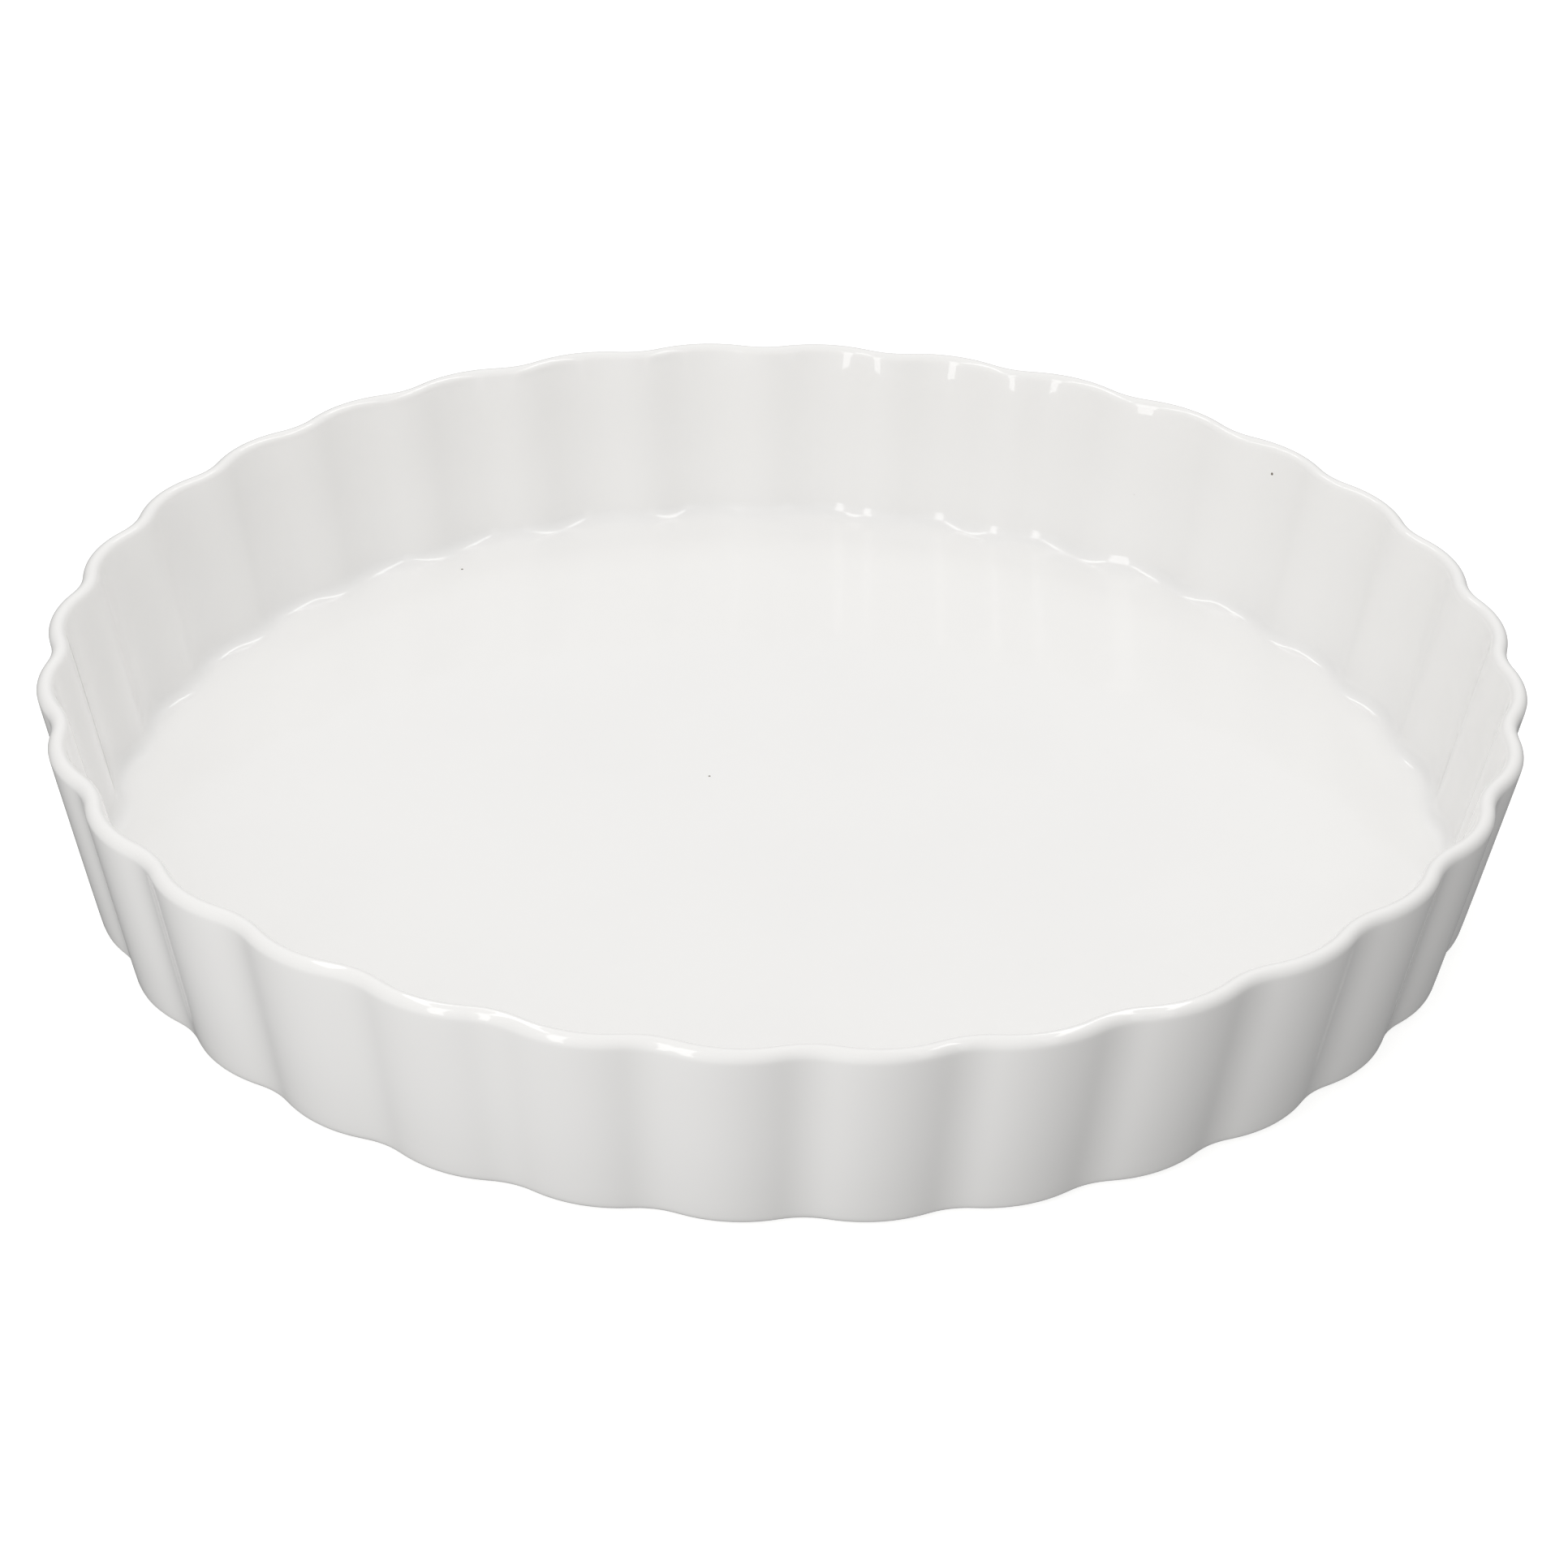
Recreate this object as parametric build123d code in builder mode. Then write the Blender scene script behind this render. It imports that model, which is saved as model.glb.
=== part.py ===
from build123d import *
from math import asin, atan2, cos, degrees, radians, sin
import os

# Fluted quiche dish: one pressed and fired shell of porcelain.
# +Z is up, the origin is the centre of the face that the foot stands on, and a flute's crest lies on +X.

# Overall sizes
rim_diameter = 300.0
base_diameter = 281.0
dish_height = 43.0

# Shell
wall_thickness = 3.9
floor_height = 5.0
inside_corner_radius = 4.0
outside_corner_radius = 3.3
lip_round_share = 0.98

# Flutes, measured at the rim
flute_count = 32
flute_depth = 2.25
valley_radius = 16.0

# Foot: a flat ring round a shallow hollow in the underside
foot_width = 4.5
foot_hollow_depth = 1.0
foot_round_share = 0.45

# The flare of the wall and the round of its lip, which nearly meets itself on top
rim_radius = rim_diameter / 2
base_radius = base_diameter / 2
flare = (rim_radius - base_radius) / dish_height
flare_angle = atan2(rim_radius - base_radius, dish_height)
lip_radius = wall_thickness * cos(flare_angle) / 2 * lip_round_share

# One flute at the rim: a lobe and a valley, two arcs that touch on the line between their centres.
# The valley's centre is half a pitch round from the lobe's, so the lobe's radius follows from the rest.
pitch_angle = 360 / flute_count
half_pitch = radians(pitch_angle / 2)
valley_bottom = rim_radius - flute_depth
valley_centre = valley_bottom + valley_radius
lobe_radius = (
    (rim_radius**2 + valley_centre**2 - valley_radius**2 - 2 * rim_radius * valley_centre * cos(half_pitch))
    / (2 * (rim_radius + valley_radius - valley_centre * cos(half_pitch)))
)
lobe_centre = rim_radius - lobe_radius
lobe_half_turn = degrees(asin(valley_centre * sin(half_pitch) / (lobe_radius + valley_radius)))
valley_half_turn = lobe_half_turn - pitch_angle / 2


def wall_share(height):
    """Share of the rim's size that the outer wall has at a height."""
    return (base_radius + flare * height) / rim_radius


def fluted_section(height, inset):
    """The dish's outline at a height, moved inward by an inset, as a filled sketch."""
    share = wall_share(height)
    with BuildSketch(Plane.XY.offset(height)) as section:
        with BuildLine():
            for flute in range(flute_count):
                crest = flute * pitch_angle
                valley = crest + pitch_angle / 2
                CenterArc(
                    center=Vector(lobe_centre * share, 0).rotate(Axis.Z, crest),
                    radius=lobe_radius * share - inset,
                    start_angle=crest - lobe_half_turn,
                    arc_size=2 * lobe_half_turn,
                )
                CenterArc(
                    center=Vector(valley_centre * share, 0).rotate(Axis.Z, valley),
                    radius=valley_radius * share + inset,
                    start_angle=valley + 180 + valley_half_turn,
                    arc_size=-2 * valley_half_turn,
                )
        make_face()
    return section.sketch


# Dish: the fluted block, hollowed to an even wall, with its lip, corners and foot
outer_sections = [fluted_section(0, 0), fluted_section(dish_height, 0)]
inner_sections = [fluted_section(floor_height, wall_thickness), fluted_section(dish_height, wall_thickness)]
foot_hollow_radius = valley_bottom * wall_share(0) - outside_corner_radius - foot_width

with BuildPart() as dish_body:
    loft(outer_sections, ruled=True)
    base_face = dish_body.faces().sort_by(Axis.Z)[0]
    fillet(base_face.edges(), outside_corner_radius)

    loft(inner_sections, ruled=True, mode=Mode.SUBTRACT)
    floor_face = dish_body.faces().filter_by(Plane.XY).sort_by(Axis.Z)[1]
    fillet(floor_face.edges(), inside_corner_radius)
    lip_face = dish_body.faces().filter_by(Plane.XY).sort_by(Axis.Z)[-1]
    fillet(lip_face.edges(), lip_radius)

    with BuildSketch(Plane.XY):
        Circle(foot_hollow_radius)
    extrude(amount=foot_hollow_depth, mode=Mode.SUBTRACT)
    hollow_edges = dish_body.edges().filter_by(GeomType.CIRCLE).sort_by(SortBy.RADIUS)[-2:]
    fillet(hollow_edges, foot_hollow_depth * foot_round_share)

dish_body.part.label = "dish_body"

os.makedirs("parts", exist_ok=True)
export_step(dish_body.part, "parts/dish_body.step")
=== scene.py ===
"""A fluted quiche dish of glazed porcelain, standing on a pale floor in soft studio light.

The dish is one shell: a flat floor, a fluted wall that leans outwards to a rounded lip, and a foot ring.
Lengths are in metres. +Z is up, the dish stands on z = 0 with its centre at the origin, and a flute's
crest lies on +X.
"""
import logging
import math
from dataclasses import dataclass, field
from enum import Enum

import bmesh
import bpy
from mathutils import Matrix, Vector

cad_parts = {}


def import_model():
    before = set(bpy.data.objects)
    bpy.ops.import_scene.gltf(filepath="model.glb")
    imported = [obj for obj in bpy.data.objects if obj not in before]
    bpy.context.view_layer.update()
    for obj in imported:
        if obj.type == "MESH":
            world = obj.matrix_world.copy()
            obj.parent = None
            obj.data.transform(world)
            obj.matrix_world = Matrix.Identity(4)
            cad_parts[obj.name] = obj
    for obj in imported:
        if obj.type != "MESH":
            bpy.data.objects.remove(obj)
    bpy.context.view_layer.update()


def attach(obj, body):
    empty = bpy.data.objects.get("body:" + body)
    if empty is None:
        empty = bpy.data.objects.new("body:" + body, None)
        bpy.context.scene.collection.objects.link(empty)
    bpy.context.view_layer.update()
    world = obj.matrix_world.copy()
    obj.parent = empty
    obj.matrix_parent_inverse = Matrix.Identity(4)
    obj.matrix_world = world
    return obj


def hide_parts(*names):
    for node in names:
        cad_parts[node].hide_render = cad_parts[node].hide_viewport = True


log = logging.getLogger("quiche_dish")

ORIGIN = (0.0, 0.0, 0.0)
UPWARD = (0.0, 0.0, 1.0)
WELD_GAP = 1e-6

# The Mix node's colour sockets, by number because its other kinds of socket have the same names
MIX_GROUND, MIX_TOP, MIX_RESULT = 6, 7, 2

Colour = tuple[float, float, float]
Span = tuple[float, float]
Socket = bpy.types.NodeSocket


class Side(Enum):
    """The face of the shell that a rounded corner belongs to."""

    INSIDE = "inside"
    OUTSIDE = "outside"


def deselect_everything() -> None:
    """Leave no object selected, so that an operator acts on the new piece alone."""
    bpy.ops.object.select_all(action="DESELECT")
    bpy.context.view_layer.objects.active = None


def work_on(piece: bpy.types.Object) -> None:
    """Make one piece the only selected object.

    Args:
        piece: the piece to be worked on.
    """
    deselect_everything()
    piece.select_set(True)
    bpy.context.view_layer.objects.active = piece


def direction(azimuth: float, elevation: float) -> Vector:
    """Point out from the dish's middle.

    Args:
        azimuth: degrees from -Y, turning towards +X.
        elevation: degrees above the horizon.

    Returns:
        A vector of length 1.
    """
    turn, rise = math.radians(azimuth), math.radians(elevation)
    return Vector((math.sin(turn) * math.cos(rise), -math.cos(turn) * math.cos(rise), math.sin(rise)))


@dataclass(frozen=True)
class Row:
    """One ring of the shell's skin.

    Attributes:
        height: height of the ring above the table.
        inset: distance that the ring lies inside the outer wall, square to the flutes' arcs.
        fluting: share of the flutes' depth that the ring keeps, from 0, round, to 1, full.
        radius: radius of a round ring; 0 where the inset places it.
    """

    height: float
    inset: float
    fluting: float = 1.0
    radius: float = 0.0


@dataclass(frozen=True)
class Fluting:
    """The outline of the wall: lobes and valleys, two arcs that touch on the line between their centres."""

    count: int = 32
    columns: int = 16
    rim_radius: float = 0.150
    base_radius: float = 0.1405
    wall_height: float = 0.043
    depth: float = 0.00225
    valley_radius: float = 0.016

    @property
    def half_pitch(self) -> float:
        """Angle from a crest to the next valley."""
        return math.pi / self.count

    @property
    def step(self) -> float:
        """Angle between two neighbouring columns of the skin."""
        return 2 * math.pi / (self.count * self.columns)

    @property
    def flare(self) -> float:
        """How far the wall leans outwards for each unit of height."""
        return (self.rim_radius - self.base_radius) / self.wall_height

    @property
    def lean(self) -> float:
        """Angle between the wall and the upright."""
        return math.atan(self.flare)

    @property
    def valley_centre(self) -> float:
        """Distance from the axis to a valley's centre at the rim."""
        return self.rim_radius - self.depth + self.valley_radius

    @property
    def lobe_radius(self) -> float:
        """Radius of a lobe's arc at the rim."""
        rim, centre, valley = self.rim_radius, self.valley_centre, self.valley_radius
        along_crest = centre * math.cos(self.half_pitch)
        squares = rim**2 + centre**2 - valley**2
        return (squares - 2 * rim * along_crest) / (2 * (rim + valley - along_crest))

    def share(self, height: float) -> float:
        """Share of the rim's size that the outline has.

        Args:
            height: height above the table.

        Returns:
            1 at the rim and less below it.
        """
        return (self.base_radius + self.flare * height) / self.rim_radius

    def middle_radius(self, height: float, inset: float) -> float:
        """Radius of the circle halfway between the crests and the valleys.

        Args:
            height: height above the table.
            inset: distance inside the outer wall.

        Returns:
            The radius.
        """
        return self.share(height) * (self.rim_radius - self.depth / 2) - inset

    def radius(self, angle: float, row: Row) -> float:
        """Distance from the axis to the outline.

        Args:
            angle: angle from the nearest crest, from 0 to half a pitch.
            row: the ring that the outline is wanted for.

        Returns:
            The distance at that angle.
        """
        if row.radius:
            return row.radius
        share = self.share(row.height)
        lobe_centre = (self.rim_radius - self.lobe_radius) * share
        lobe = self.lobe_radius * share - row.inset
        valley_centre = self.valley_centre * share
        valley = self.valley_radius * share + row.inset
        turn = math.asin(valley_centre * math.sin(self.half_pitch) / (lobe + valley))
        touch = math.atan2(lobe * math.sin(turn), lobe_centre + lobe * math.cos(turn))
        if angle <= touch:
            across = lobe_centre * math.sin(angle)
            fluted = lobe_centre * math.cos(angle) + math.sqrt(lobe**2 - across**2)
        else:
            away = self.half_pitch - angle
            across = valley_centre * math.sin(away)
            fluted = valley_centre * math.cos(away) - math.sqrt(valley**2 - across**2)
        return row.fluting * fluted + (1 - row.fluting) * self.middle_radius(row.height, row.inset)


class NodeBench:
    """Lays out the nodes of one finish."""

    def __init__(self, tree: bpy.types.NodeTree) -> None:
        """Take up the finish's node tree.

        Args:
            tree: the tree to lay nodes in.
        """
        self.tree = tree

    def link(self, source: Socket, target: Socket) -> None:
        """Join two sockets."""
        self.tree.links.new(source, target)

    def shader(self) -> bpy.types.Node:
        """Give the finish's own surface shader."""
        return self.tree.nodes["Principled BSDF"]

    def object_place(self) -> Socket:
        """Give the place on the piece, in the piece's own metres."""
        return self.tree.nodes.new("ShaderNodeTexCoord").outputs["Object"]

    def maths(self, operation: str, *values: Socket | float) -> Socket:
        """Work out a number.

        Args:
            operation: the Math node's operation.
            values: its inputs, sockets or plain numbers.

        Returns:
            The result's socket.
        """
        node = self.tree.nodes.new("ShaderNodeMath")
        node.operation = operation
        for socket, value in zip(node.inputs, values):
            if isinstance(value, Socket):
                self.link(value, socket)
            else:
                socket.default_value = value
        return node.outputs[0]

    def multiply(self, one: Socket, other: Socket) -> Socket:
        """Multiply two numbers."""
        return self.maths("MULTIPLY", one, other)

    def as_share(self, value: Socket) -> Socket:
        """Bring a number between -1 and 1 to one between 0 and 1."""
        return self.maths("MULTIPLY_ADD", value, 0.5, 0.5)

    def height(self, place: Socket) -> Socket:
        """Give the height of a place above the table.

        Args:
            place: the place's socket.

        Returns:
            The height's socket.
        """
        split = self.tree.nodes.new("ShaderNodeSeparateXYZ")
        self.link(place, split.inputs[0])
        return split.outputs["Z"]

    def distance_from_axis(self, place: Socket) -> Socket:
        """Give the distance of a place from the upright axis.

        Args:
            place: the place's socket.

        Returns:
            The distance's socket.
        """
        split = self.tree.nodes.new("ShaderNodeSeparateXYZ")
        self.link(place, split.inputs[0])
        across = self.maths("POWER", split.outputs["X"], 2.0)
        along = self.maths("POWER", split.outputs["Y"], 2.0)
        return self.maths("SQRT", self.maths("ADD", across, along))

    def noise(self, place: Socket, scale: float, detail: float) -> Socket:
        """Give a cloudy value between 0 and 1.

        Args:
            place: where on the piece.
            scale: clouds to the metre.
            detail: how many finer layers it has.

        Returns:
            The value's socket.
        """
        node = self.tree.nodes.new("ShaderNodeTexNoise")
        node.inputs["Scale"].default_value = scale
        node.inputs["Detail"].default_value = detail
        self.link(place, node.inputs["Vector"])
        return node.outputs["Fac"]

    def ramp_value(self, value: Socket, start: float, end: float) -> Socket:
        """Turn a value into a smooth share.

        Args:
            value: the value's socket.
            start: the value that gives 0.
            end: the value that gives 1; it may be below the start.

        Returns:
            The share's socket.
        """
        node = self.tree.nodes.new("ShaderNodeMapRange")
        node.interpolation_type = "SMOOTHSTEP"
        rising = start < end
        node.inputs["From Min"].default_value = min(start, end)
        node.inputs["From Max"].default_value = max(start, end)
        node.inputs["To Min"].default_value = 0.0 if rising else 1.0
        node.inputs["To Max"].default_value = 1.0 if rising else 0.0
        self.link(value, node.inputs["Value"])
        return node.outputs["Result"]

    def mix(self, share: Socket, ground: Socket | Colour, top: Socket | Colour) -> Socket:
        """Mix two colours.

        Args:
            share: how much of the top colour shows.
            ground: the colour below.
            top: the colour above.

        Returns:
            The mixed colour's socket.
        """
        node = self.tree.nodes.new("ShaderNodeMix")
        node.data_type = "RGBA"
        self.link(share, node.inputs[0])
        for socket, colour in ((node.inputs[MIX_GROUND], ground), (node.inputs[MIX_TOP], top)):
            if isinstance(colour, Socket):
                self.link(colour, socket)
            else:
                socket.default_value = (*colour, 1.0)
        return node.outputs[MIX_RESULT]

    def specks(self, place: Socket, scale: float, size: float, edge: float) -> Socket:
        """Give the few dark pinholes of a fired glaze.

        Args:
            place: where on the piece.
            scale: specks to the metre.
            size: a speck's radius as a share of the room that one has.
            edge: how many times its radius a speck's soft edge reaches.

        Returns:
            The specks' share.
        """
        node = self.tree.nodes.new("ShaderNodeTexVoronoi")
        node.inputs["Scale"].default_value = scale
        self.link(place, node.inputs["Vector"])
        return self.ramp_value(node.outputs["Distance"], size * edge, size)

    def bump(self, place: Socket, scale: float, strength: float, distance: float) -> Socket:
        """Give the normals of a finely uneven surface.

        Args:
            place: where on the piece.
            scale: ripples to the metre.
            strength: how strongly they show.
            distance: their height in metres.

        Returns:
            The normals' socket.
        """
        node = self.tree.nodes.new("ShaderNodeBump")
        node.inputs["Strength"].default_value = strength
        node.inputs["Distance"].default_value = distance
        self.link(self.noise(place, scale, 1.0), node.inputs["Height"])
        return node.outputs["Normal"]


@dataclass(frozen=True)
class GlazeFinish:
    """Clear gloss glaze over white porcelain, with the small flaws of a fired piece, painted light in the
    inside corner and painted shade on the outer wall towards the foot.

    A span is a pair of values between which a share grows from 0 to 1.
    """

    name: str = "glazed_porcelain"
    body_white: Colour = (0.953, 0.944, 0.928)
    cloudy_white: Colour = (0.944, 0.935, 0.920)
    # painted light: a lighter white that brightens the inside corner and the lower wall
    painted_corner_light: Colour = (0.995, 0.987, 0.973)
    # painted shade: a greyer white that darkens the outer wall towards the foot
    painted_foot_shade: Colour = (0.880, 0.872, 0.857)
    lip_white: Colour = (0.962, 0.950, 0.930)
    speck_brown: Colour = (0.16, 0.13, 0.10)
    gloss_roughness: float = 0.012
    glass_index: float = 1.5
    haze: float = 0.35
    haze_roughness: float = 0.28
    clouds_to_metre: float = 22.0
    cloud_layers: float = 3.0
    cloud_span: Span = (0.35, 0.7)
    painted_light_reach: Span = (0.124, 0.136)
    below_floor: Span = (0.0015, 0.0005)
    below_rim: float = 0.008
    outer_edge: float = 0.0004
    foot_shade_share: float = 0.9
    lip_span: Span = (0.0022, 0.0004)
    wear_to_metre: float = 160.0
    wear_layers: float = 2.0
    specks_to_metre: float = 46.0
    speck_share: float = 0.011
    speck_edge: float = 1.5
    ripples_to_metre: float = 190.0
    ripple: float = 0.04
    ripple_height: float = 0.0004

    def build(self, dish: "QuicheDish") -> bpy.types.Material:
        """Make the material.

        Args:
            dish: the dish, whose sizes place the painted corner light, the painted foot shade and the lip's
                white.

        Returns:
            The glaze.
        """
        glaze = bpy.data.materials.new(self.name)
        glaze.use_nodes = True
        bench = NodeBench(glaze.node_tree)
        shader = bench.shader()
        shader.inputs["Roughness"].default_value = self.gloss_roughness
        shader.inputs["IOR"].default_value = self.glass_index
        shader.inputs["Coat Weight"].default_value = self.haze
        shader.inputs["Coat Roughness"].default_value = self.haze_roughness
        shader.inputs["Coat IOR"].default_value = self.glass_index

        place = bench.object_place()
        colour = self.white(bench, place, dish)
        specks = bench.specks(place, self.specks_to_metre, self.speck_share, self.speck_edge)
        bench.link(bench.mix(specks, colour, self.speck_brown), shader.inputs["Base Color"])
        ripple = bench.bump(place, self.ripples_to_metre, self.ripple, self.ripple_height)
        bench.link(ripple, shader.inputs["Normal"])
        return glaze

    def white(self, bench: NodeBench, place: Socket, dish: "QuicheDish") -> Socket:
        """Lay the whites of the glaze over each other, from the cloudy body to the thin lip, with painted
        light in the inside corner and painted shade on the outer wall by the foot.

        Args:
            bench: the bench that the glaze's nodes are laid on.
            place: where on the dish.
            dish: the dish, whose sizes place the whites.

        Returns:
            The colour's socket.
        """
        clouds = bench.noise(place, self.clouds_to_metre, self.cloud_layers)
        cloudiness = bench.ramp_value(clouds, *self.cloud_span)
        colour = bench.mix(cloudiness, self.body_white, self.cloudy_white)

        height = bench.height(place)
        reach = bench.distance_from_axis(place)
        # Painted light: a lighter white near the wall, strongest at the floor and gone 8 mm below the rim
        lowest, highest = self.below_floor
        above = bench.ramp_value(height, dish.floor_height - lowest, dish.floor_height - highest)
        painted_light_near_wall = bench.multiply(bench.ramp_value(reach, *self.painted_light_reach), above)
        painted_light_down_wall = bench.ramp_value(height, dish.height - self.below_rim, dish.floor_height)
        colour = bench.mix(bench.multiply(painted_light_near_wall, painted_light_down_wall), colour, self.painted_corner_light)

        # Painted shade: a greyer white on the outer wall, darkest at the foot and fading out towards the rim
        outline = dish.fluting
        upright = bench.maths("MULTIPLY_ADD", height, -outline.flare, dish.wall / 2 + outline.depth / 2)
        outward = bench.maths("ADD", reach, upright)
        edge = self.outer_edge
        outer = bench.ramp_value(outward, outline.base_radius - edge, outline.base_radius + edge)
        painted_shade_near_foot = bench.ramp_value(height, dish.height * self.foot_shade_share, 0.0)
        colour = bench.mix(bench.multiply(outer, painted_shade_near_foot), colour, self.painted_foot_shade)

        worn = bench.noise(place, self.wear_to_metre, self.wear_layers)
        lowest, highest = self.lip_span
        at_lip = bench.ramp_value(height, dish.height - lowest, dish.height - highest)
        return bench.mix(bench.multiply(at_lip, worn), colour, self.lip_white)


@dataclass(frozen=True)
class BareFootFinish:
    """Unglazed fired porcelain: the ring that the dish stood on in the kiln."""

    name: str = "bare_foot_ring"
    body_white: Colour = (0.84, 0.82, 0.78)
    rubbed_grey: Colour = (0.70, 0.68, 0.64)
    roughness: float = 0.62
    rubs_to_metre: float = 240.0
    rub_layers: float = 4.0
    rub_span: Span = (0.5, 0.8)
    grains_to_metre: float = 2600.0
    grain: float = 0.35
    grain_height: float = 0.0001

    def build(self) -> bpy.types.Material:
        """Make the material.

        Returns:
            The bare porcelain.
        """
        bare = bpy.data.materials.new(self.name)
        bare.use_nodes = True
        bench = NodeBench(bare.node_tree)
        shader = bench.shader()
        shader.inputs["Roughness"].default_value = self.roughness
        place = bench.object_place()
        rubbed = bench.ramp_value(bench.noise(place, self.rubs_to_metre, self.rub_layers), *self.rub_span)
        bench.link(bench.mix(rubbed, self.body_white, self.rubbed_grey), shader.inputs["Base Color"])
        grain = bench.bump(place, self.grains_to_metre, self.grain, self.grain_height)
        bench.link(grain, shader.inputs["Normal"])
        return bare


@dataclass(frozen=True)
class FloorFinish:
    """Pale matt studio floor that glows from within, so that the dish's shadow on it stays faint."""

    name: str = "pale_floor"
    pale: Colour = (0.66, 0.66, 0.656)
    paler: Colour = (0.67, 0.67, 0.666)
    roughness: float = 0.9
    gloss_level: float = 0.1
    glow: float = 0.95
    clouds_to_metre: float = 2.0
    cloud_layers: float = 2.0

    def build(self) -> bpy.types.Material:
        """Make the material.

        Returns:
            The floor's finish.
        """
        paper = bpy.data.materials.new(self.name)
        paper.use_nodes = True
        bench = NodeBench(paper.node_tree)
        shader = bench.shader()
        shader.inputs["Roughness"].default_value = self.roughness
        shader.inputs["Specular IOR Level"].default_value = self.gloss_level
        shader.inputs["Emission Color"].default_value = (*self.paler, 1.0)
        shader.inputs["Emission Strength"].default_value = self.glow
        paper.cycles.emission_sampling = "NONE"
        clouds = bench.noise(bench.object_place(), self.clouds_to_metre, self.cloud_layers)
        bench.link(bench.mix(clouds, self.pale, self.paler), shader.inputs["Base Color"])
        return paper


@dataclass
class QuicheDish:
    """The dish: one fluted shell that replaces the CAD node of the same shape.

    The rings of its skin are counted or placed here, and each of its flutes is a copy of one slice.
    """

    name: str = "quiche_dish"
    fluting: Fluting = field(default_factory=Fluting)
    wall: float = 0.0039
    floor_height: float = 0.005
    inside_corner: float = 0.004
    outside_corner: float = 0.0033
    foot_width: float = 0.0045
    foot_hollow: float = 0.001
    foot_round: float = 0.00045
    inner_bow: float = 0.0001
    unevenness: float = 0.00012
    swell_size: float = 0.045
    foot_top_share: float = 1.5

    inside_corner_rings: int = 7
    outside_corner_rings: int = 6
    lip_rings: int = 14
    outer_wall_rings: int = 1
    inner_wall_rings: int = 3
    middle_radius: float = 0.012
    hollow_radii: tuple[float, ...] = (0.050, 0.092)
    hollow_margin: float = 0.010
    knee_share: float = 0.3
    foot_step: float = 0.0015
    foot_fluting: float = 0.6
    floor_eases: tuple[Span, ...] = ((0.0015, 0.94), (0.006, 0.5))
    floor_steps: tuple[float, ...] = (0.014, 0.034, 0.060, 0.088)
    bare_height: float = 0.00012
    bare_normal: float = -0.5

    @property
    def height(self) -> float:
        """Height of the whole dish, which is its wall's."""
        return self.fluting.wall_height

    def row_at(self, out: float, height: float) -> Row:
        """Make a ring from its place in the wall's section.

        Args:
            out: how far outwards from the base's edge.
            height: how high above the table.

        Returns:
            The ring.
        """
        return Row(height=height, inset=self.fluting.flare * height - out)

    def corner(self, side: Side, count: int) -> list[Row]:
        """Work out the rings of a rounded corner between a flat face and the wall.

        Args:
            side: the face of the shell that the corner is on.
            count: how many rings the corner has.

        Returns:
            The rings, from the flat face up to the wall.
        """
        lean = self.fluting.lean
        if side is Side.INSIDE:
            size, ground, across = self.inside_corner, self.floor_height, self.wall / math.cos(lean)
        else:
            size, ground, across = self.outside_corner, 0.0, 0.0
        middle_height = ground + size
        middle = self.fluting.flare * middle_height - size / math.cos(lean) - across
        rows = []
        for number in range(count):
            turn = (math.pi / 2 - lean) * number / (count - 1)
            rows.append(self.row_at(middle + size * math.sin(turn), middle_height - size * math.cos(turn)))
        return rows

    def lip(self, count: int) -> list[Row]:
        """Work out the rings of the rounded lip.

        Args:
            count: how many rings the lip has.

        Returns:
            The rings, from the outer wall over the top to the inner wall.
        """
        lean = self.fluting.lean
        size = self.wall * math.cos(lean) / 2
        middle_height = self.height - size
        middle = self.fluting.flare * middle_height - size / math.cos(lean)
        rows = []
        for number in range(count):
            turn = -lean + math.pi * number / (count - 1)
            rows.append(self.row_at(middle + size * math.cos(turn), middle_height + size * math.sin(turn)))
        return rows

    @staticmethod
    def between(start: Row, end: Row, count: int, bow: float = 0.0) -> list[Row]:
        """Space rings evenly between two others.

        Args:
            start: the ring before them.
            end: the ring after them.
            count: how many there are between.
            bow: how far the middle of the wall stands in from the straight line.

        Returns:
            The rings between, without the two ends.
        """
        rows = []
        for number in range(1, count + 1):
            share = number / (count + 1)
            height = start.height + (end.height - start.height) * share
            inset = start.inset + (end.inset - start.inset) * share + 4 * bow * share * (1 - share)
            rows.append(Row(height, inset))
        return rows

    def underside(self) -> list[Row]:
        """Work out the rings of the hollow below the dish and of its foot ring.

        Returns:
            The rings, from the middle outwards.
        """
        outline = self.fluting
        valley = (outline.rim_radius - outline.depth) * outline.share(0)
        edge = valley - self.outside_corner - self.foot_width
        deep, turn = self.foot_hollow, self.foot_round
        knee = turn * self.knee_share
        flat = [self.middle_radius, *self.hollow_radii, edge - self.hollow_margin, edge - turn]
        section = [(radius, deep) for radius in flat]
        section += [(edge - knee, deep - knee), (edge, deep / 2), (edge + knee, knee)]
        section += [(edge + turn, 0.0), (edge + turn * 2, 0.0)]
        return [Row(height, 0.0, 0.0, radius) for radius, height in section]

    def floor_inside(self, edge: Row) -> list[Row]:
        """Work out the rings of the flat floor inside the dish, from the corner to the middle.

        Args:
            edge: the last ring of the corner.

        Returns:
            The rings.
        """
        middle = self.fluting.middle_radius(edge.height, edge.inset)
        rows = [Row(edge.height, edge.inset + step, fluting) for step, fluting in self.floor_eases]
        radii = [middle - step for step in self.floor_steps] + [self.middle_radius]
        return rows + [Row(edge.height, 0.0, 0.0, radius) for radius in radii]

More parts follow.
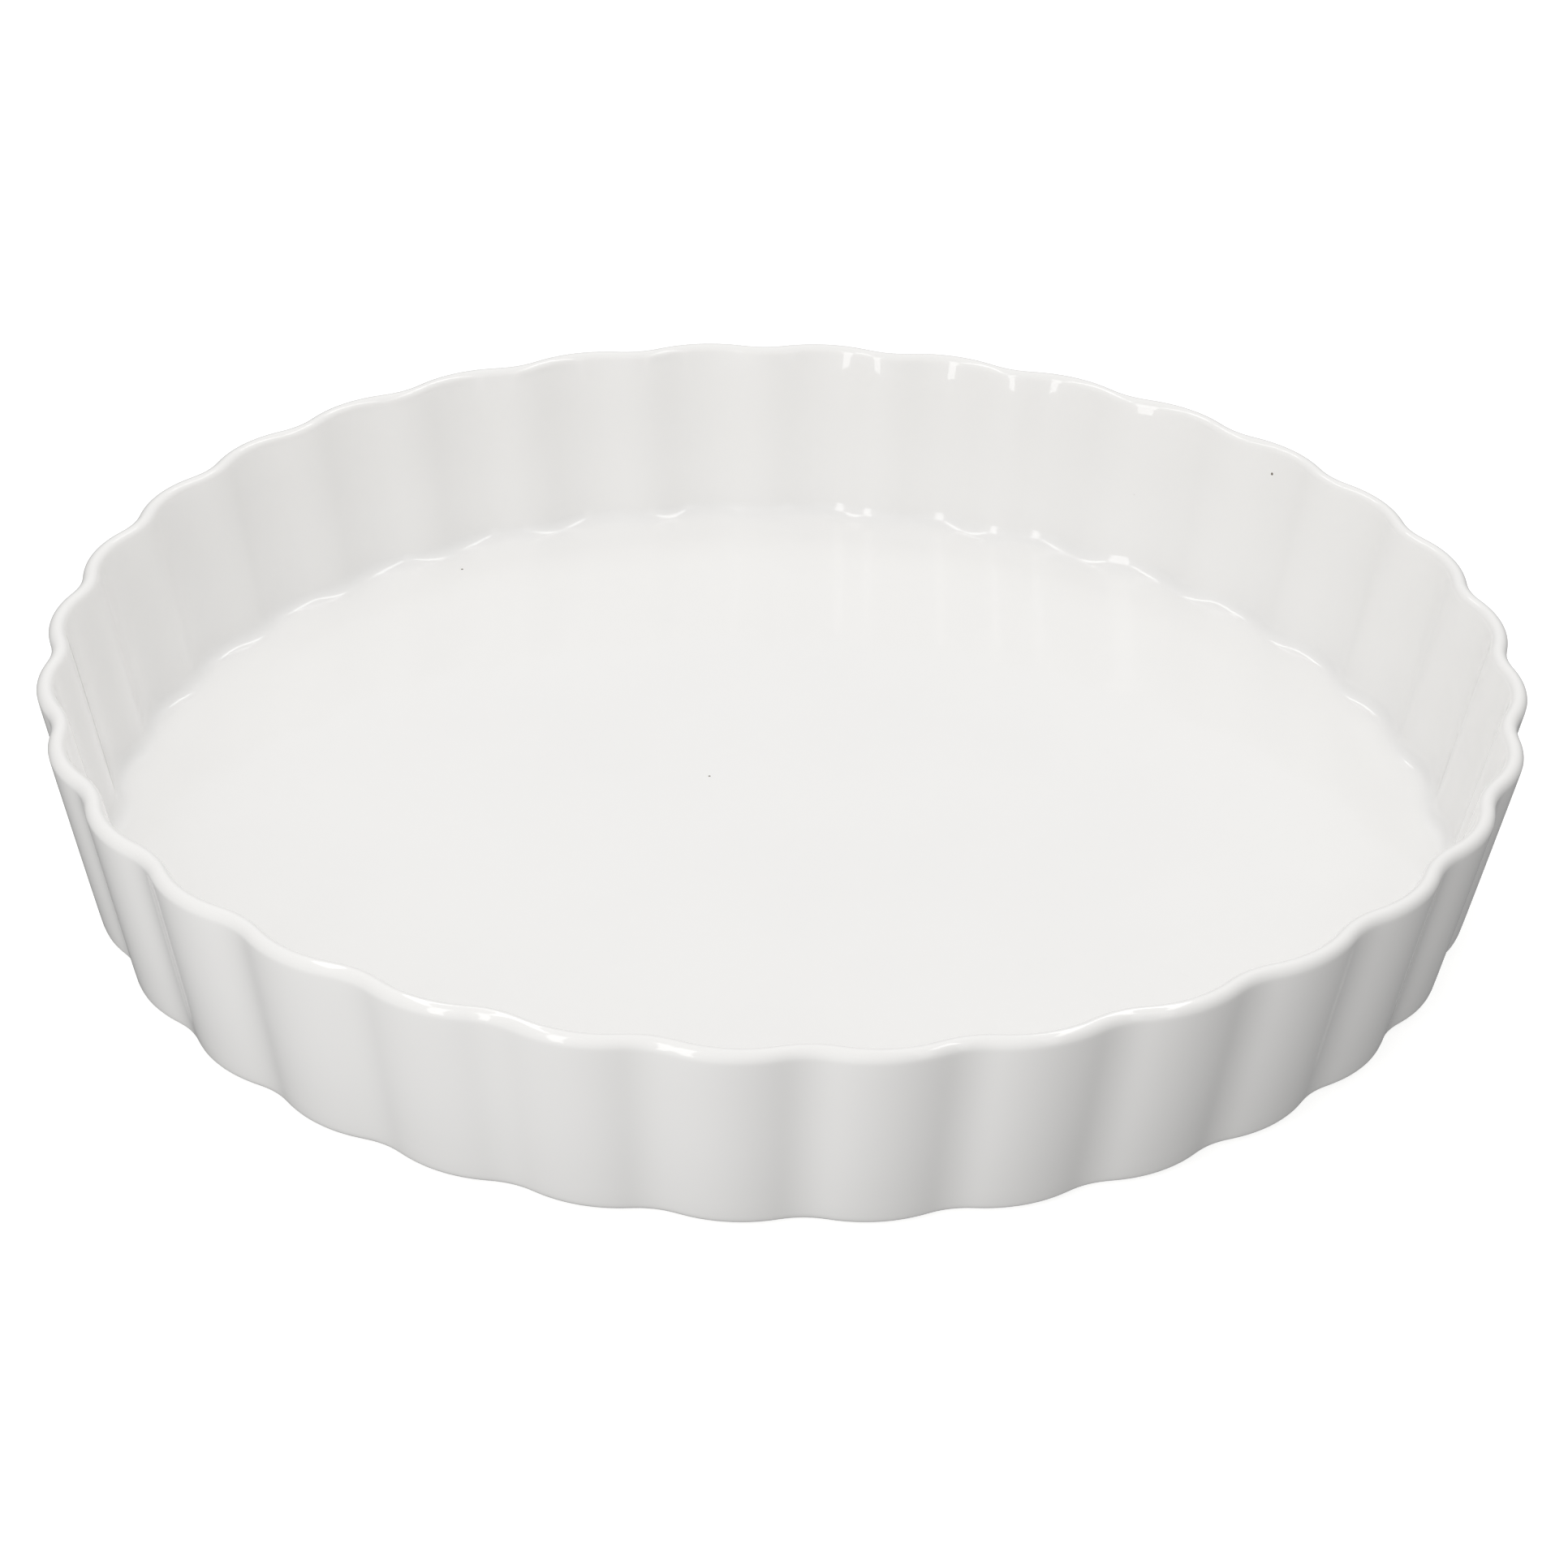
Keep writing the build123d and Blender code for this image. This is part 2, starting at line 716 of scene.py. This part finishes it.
    def section(self) -> list[Row]:
        """Lay out every ring of the shell.

        Returns:
            The rings, from the middle of the underside over the lip to the middle of the floor.
        """
        outside = self.corner(Side.OUTSIDE, self.outside_corner_rings)
        inside = self.corner(Side.INSIDE, self.inside_corner_rings)
        lip = self.lip(self.lip_rings)
        foot_edge = Row(0.0, outside[0].inset + self.foot_step, self.foot_fluting)
        rows = self.underside() + [foot_edge] + outside
        rows += self.between(outside[-1], lip[0], self.outer_wall_rings) + lip
        rows += self.between(lip[-1], inside[-1], self.inner_wall_rings, self.inner_bow) + inside[::-1]
        return rows + self.floor_inside(inside[0])

    def column(self, place: Vector) -> int:
        """Count how many columns of the skin lie between a place and the crest on +X."""
        return round(abs(math.atan2(place.y, place.x)) / self.fluting.step)

    def keep_one_flute(self) -> None:
        """Delete what a new circle has outside the flute on +X, and select the rest."""
        mesh = bpy.context.object.data
        form = bmesh.from_edit_mesh(mesh)
        for corner in form.verts:
            corner.select = self.column(corner.co) > self.fluting.columns // 2
        form.select_flush(False)
        form.select_flush(True)
        bmesh.update_edit_mesh(mesh)
        bpy.ops.mesh.delete(type="VERT")
        bpy.ops.mesh.select_all(action="SELECT")

    def shape_arc(self, row: Row) -> None:
        """Bring the selected arc of one flute to a row's outline.

        The columns that lie alike on both sides of the crest are resized together, about the axis.

        Args:
            row: the outline.
        """
        mesh = bpy.context.object.data
        form = bmesh.from_edit_mesh(mesh)
        arc = [corner for corner in form.verts if corner.select]
        bpy.ops.transform.translate(value=(0.0, 0.0, row.height - arc[0].co.z))
        for fold in range(self.fluting.columns // 2 + 1):
            for corner in form.verts:
                corner.select = False
            alike = [corner for corner in arc if self.column(corner.co) == fold]
            for corner in alike:
                corner.select = True
            form.select_flush(False)
            form.select_flush(True)
            wanted = self.fluting.radius(fold * self.fluting.step, row)
            change = wanted / alike[0].co.xy.length
            bpy.ops.transform.resize(value=(change, change, 1.0), center_override=ORIGIN)
        for corner in arc:
            corner.select = True
        form.select_flush(True)
        bmesh.update_edit_mesh(mesh)

    def model(self) -> bpy.types.Object:
        """Model one flute's slice of the shell, arc by arc, and repeat it round the axis.

        Returns:
            The dish.
        """
        first, *others = self.section()
        deselect_everything()
        around = self.fluting.count * self.fluting.columns
        start = (0.0, 0.0, first.height)
        bpy.ops.mesh.primitive_circle_add(vertices=around, radius=first.radius, location=start)
        dish = bpy.context.object
        dish.name = self.name
        dish.data.name = self.name
        bpy.ops.object.transform_apply()
        bpy.ops.object.mode_set(mode="EDIT")
        bpy.ops.mesh.select_mode(type="VERT")
        self.keep_one_flute()
        for row in others:
            bpy.ops.mesh.extrude_edges_move()
            self.shape_arc(row)
        bpy.ops.mesh.select_all(action="SELECT")
        turns = self.fluting.count - 1
        sweep = 2 * self.fluting.half_pitch * turns
        bpy.ops.mesh.spin(steps=turns, dupli=True, angle=sweep, center=ORIGIN, axis=UPWARD)
        bpy.ops.mesh.select_all(action="SELECT")
        bpy.ops.mesh.remove_doubles(threshold=WELD_GAP)
        bpy.ops.mesh.normals_make_consistent(inside=False)
        bpy.ops.object.mode_set(mode="OBJECT")
        return dish

    def close_middles(self, dish: bpy.types.Object) -> None:
        """Close the skin's two open rings, under the dish and on its floor, each with a fan.

        Args:
            dish: the open skin.
        """
        work_on(dish)
        bpy.ops.object.mode_set(mode="EDIT")
        for on_floor in (True, False):
            form = bmesh.from_edit_mesh(dish.data)
            for corner in form.verts:
                corner.select = corner.is_boundary and (corner.co.z > self.floor_height / 2) == on_floor
            form.select_flush(False)
            form.select_flush(True)
            bmesh.update_edit_mesh(dish.data)
            bpy.ops.mesh.extrude_edges_move()
            bpy.ops.mesh.merge(type="CENTER")
        bpy.ops.mesh.select_all(action="SELECT")
        bpy.ops.mesh.normals_make_consistent(inside=False)
        bpy.ops.object.mode_set(mode="OBJECT")

    def smooth(self, dish: bpy.types.Object) -> None:
        """Smooth the skin and close its middles.

        Args:
            dish: the modelled shell.
        """
        work_on(dish)
        smooth = dish.modifiers.new("smooth_skin", "SUBSURF")
        smooth.levels = 1
        smooth.render_levels = 1
        bpy.ops.object.modifier_apply(modifier=smooth.name)
        self.close_middles(dish)

    def swell(self, dish: bpy.types.Object) -> None:
        """Give the skin above the foot the faint unevenness of fired ware, always inwards.

        Args:
            dish: the smoothed shell.
        """
        foot_top = self.foot_hollow * self.foot_top_share
        above_foot = dish.vertex_groups.new(name="above_foot")
        raised = [corner.index for corner in dish.data.vertices if corner.co.z > foot_top]
        above_foot.add(raised, 1.0, "REPLACE")
        swell = bpy.data.textures.new("kiln_swell", "CLOUDS")
        swell.noise_scale = self.swell_size
        swell.noise_depth = 1
        uneven = dish.modifiers.new("kiln_unevenness", "DISPLACE")
        uneven.texture = swell
        uneven.texture_coords = "LOCAL"
        uneven.strength = self.unevenness
        uneven.mid_level = 1.0
        uneven.vertex_group = above_foot.name
        bpy.ops.object.modifier_apply(modifier=uneven.name)
        bpy.ops.object.shade_smooth()

    def dress(self, dish: bpy.types.Object) -> None:
        """Give the shell its glaze and its bare foot ring.

        Args:
            dish: the modelled shell.
        """
        dish.data.materials.append(GlazeFinish().build(self))
        dish.data.materials.append(BareFootFinish().build())
        for face in dish.data.polygons:
            if face.center.z < self.bare_height and face.normal.z < self.bare_normal:
                face.material_index = 1

    def make(self) -> bpy.types.Object:
        """Model the dish, dress it and put it in the CAD node's place.

        Returns:
            The finished dish.
        """
        dish = self.model()
        self.smooth(dish)
        self.swell(dish)
        self.dress(dish)
        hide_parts("dish_body")
        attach(dish, "root")
        log.info("%s: %d faces, replaces dish_body", dish.name, len(dish.data.polygons))
        return dish


@dataclass(frozen=True)
class SoftBox:
    """A long flat lamp that faces the dish.

    Attributes:
        name: the lamp's name.
        low_end: where one of its ends is seen from the dish, as azimuth and elevation in degrees.
        high_end: where its other end is seen from the dish, in the same way.
        distance: distance of its ends from the dish's middle.
        width: size across.
        glare: brightness of its face.
    """

    name: str
    low_end: Span
    high_end: Span
    distance: float
    width: float
    glare: float

    def hang(self, facing: float) -> None:
        """Add the lamp to the scene.

        Args:
            facing: the camera's own direction round the dish, in degrees.
        """
        low = direction(facing + self.low_end[0], self.low_end[1]) * self.distance
        high = direction(facing + self.high_end[0], self.high_end[1]) * self.distance
        middle = (low + high) / 2
        along = (high - low).normalized()
        away = (middle - along * middle.dot(along)).normalized()
        across = along.cross(away)
        lamp = bpy.data.lights.new(self.name, "AREA")
        lamp.shape = "RECTANGLE"
        lamp.size = self.width
        lamp.size_y = (high - low).length
        lamp.energy = self.glare * math.pi * lamp.size * lamp.size_y
        hung = bpy.data.objects.new(self.name, lamp)
        bpy.context.scene.collection.objects.link(hung)
        turned = Matrix((across, along, away)).transposed().to_4x4()
        hung.matrix_world = Matrix.Translation(middle) @ turned
        hung.visible_camera = False
        log.info("%s: %.1f W", self.name, lamp.energy)


@dataclass(frozen=True)
class Glow:
    """A broad soft light from one side of the studio's white walls.

    Attributes:
        azimuth: its direction, in degrees from the camera's, positive to the right.
        elevation: its height above the horizon in degrees.
        strength: its brightness in the middle.
        gather: how much it gathers about its middle; 1 is very broad.
    """

    azimuth: float
    elevation: float
    strength: float
    gather: float


@dataclass(frozen=True)
class Studio:
    """Floor, lights and camera.

    Attributes:
        facing: direction of the camera round the dish, in degrees from -Y.
        elevation: height of the camera above the horizon in degrees, seen from the dish's middle.
        distance: distance of the camera from the dish's middle.
        lens: focal length in millimetres.
        sensor: width of the sensor in millimetres.
        pan: turn of the camera away from the dish's middle, in degrees.
        tilt: tilt of the camera away from the dish's middle, in degrees.
        roll: turn of the camera about its line of sight, in degrees.
        floor_size: side of the square floor.
        floor_squares: how many squares the floor has along a side.
        base_glow: brightness that the walls have all round.
        glows: the walls' brighter sides.
        boxes: the lamps.
    """

    facing: float = 3.11
    elevation: float = 30.58
    distance: float = 0.9785
    lens: float = 108.86
    sensor: float = 36.0
    pan: float = 0.04
    tilt: float = 0.60
    roll: float = 1.45
    floor_size: float = 24.0
    floor_squares: int = 24
    base_glow: float = 0.222
    glows: tuple[Glow, ...] = (
        Glow(0.0, 90.0, 0.080, 4.0),
        Glow(-150.0, 38.0, 0.131, 6.0),
        Glow(-30.0, 38.0, 0.444, 6.0),
        Glow(30.0, 38.0, 0.221, 6.0),
        Glow(150.0, 38.0, 0.548, 6.0),
        Glow(180.0, 36.0, 0.130, 36.0),
        Glow(-90.0, -30.0, 0.143, 8.0),
        Glow(-30.0, -30.0, 0.716, 8.0),
    )
    boxes: tuple[SoftBox, ...] = (
        SoftBox("left_strip_lamp", (-29.5, 2.0), (-46.0, 63.0), 1.0, 0.14, 2.8),
        SoftBox("right_strip_lamp", (33.0, 2.0), (48.0, 63.0), 1.0, 0.14, 0.6),
        SoftBox("left_bar_lamp", (-59.0, 60.0), (-169.0, 44.0), 1.0, 0.075, 3.2),
        SoftBox("right_bar_lamp", (59.0, 60.0), (169.0, 44.0), 1.0, 0.075, 3.2),
    )

    def lay_floor(self) -> None:
        """Lay the pale floor that the dish stands on, and keep its light off the dish."""
        deselect_everything()
        squares = self.floor_squares
        bpy.ops.mesh.primitive_grid_add(x_subdivisions=squares, y_subdivisions=squares, size=self.floor_size)
        floor = bpy.context.object
        floor.name = "studio_floor"
        floor.data.materials.append(FloorFinish().build())
        floor.visible_diffuse = False
        floor.visible_glossy = False
        floor.visible_shadow = False
        log.info("studio_floor: %.0f m square", self.floor_size)

    def light_walls(self) -> None:
        """Light the dish all round from the studio's pale walls."""
        world = bpy.data.worlds.new("studio_walls")
        world.use_nodes = True
        bpy.context.scene.world = world
        bench = NodeBench(world.node_tree)
        ground = world.node_tree.nodes["Background"]
        ground.inputs["Color"].default_value = (1.0, 1.0, 1.0, 1.0)
        outward = world.node_tree.nodes.new("ShaderNodeTexCoord").outputs["Generated"]
        total: Socket | float = self.base_glow
        for glow in self.glows:
            dot = world.node_tree.nodes.new("ShaderNodeVectorMath")
            dot.operation = "DOT_PRODUCT"
            bench.link(outward, dot.inputs[0])
            dot.inputs[1].default_value = direction(self.facing + glow.azimuth, glow.elevation)
            gathered = bench.maths("POWER", bench.as_share(dot.outputs["Value"]), glow.gather)
            total = bench.maths("ADD", bench.maths("MULTIPLY", gathered, glow.strength), total)
        bench.link(total, ground.inputs["Strength"])
        log.info("studio_walls: %d glows", len(self.glows))

    def set_camera(self) -> None:
        """Set the camera at the photograph's viewing angle."""
        lens = bpy.data.cameras.new("studio_camera")
        lens.lens = self.lens
        lens.sensor_width = self.sensor
        camera = bpy.data.objects.new("studio_camera", lens)
        bpy.context.scene.collection.objects.link(camera)
        away = direction(self.facing, self.elevation)
        level = away.to_track_quat("Z", "Y").to_matrix().to_4x4()
        panned = Matrix.Rotation(math.radians(-self.pan), 4, "Y")
        tilted = Matrix.Rotation(math.radians(self.tilt), 4, "X")
        rolled = Matrix.Rotation(math.radians(self.roll), 4, "Z")
        camera.matrix_world = Matrix.Translation(away * self.distance) @ level @ panned @ tilted @ rolled
        bpy.context.scene.camera = camera
        log.info("studio_camera: %.1f mm lens, %.2f m away", self.lens, self.distance)

    def build(self) -> None:
        """Lay the floor, hang the lamps and set the camera."""
        self.lay_floor()
        self.light_walls()
        for box in self.boxes:
            box.hang(self.facing)
        self.set_camera()
        bpy.context.scene.view_settings.view_transform = "Standard"


def main() -> None:
    """Build the dish and its studio round the CAD frame."""
    logging.basicConfig(level=logging.INFO, format="%(name)s %(message)s")
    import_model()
    QuicheDish().make()
    Studio().build()


if __name__ == "__main__":
    main()
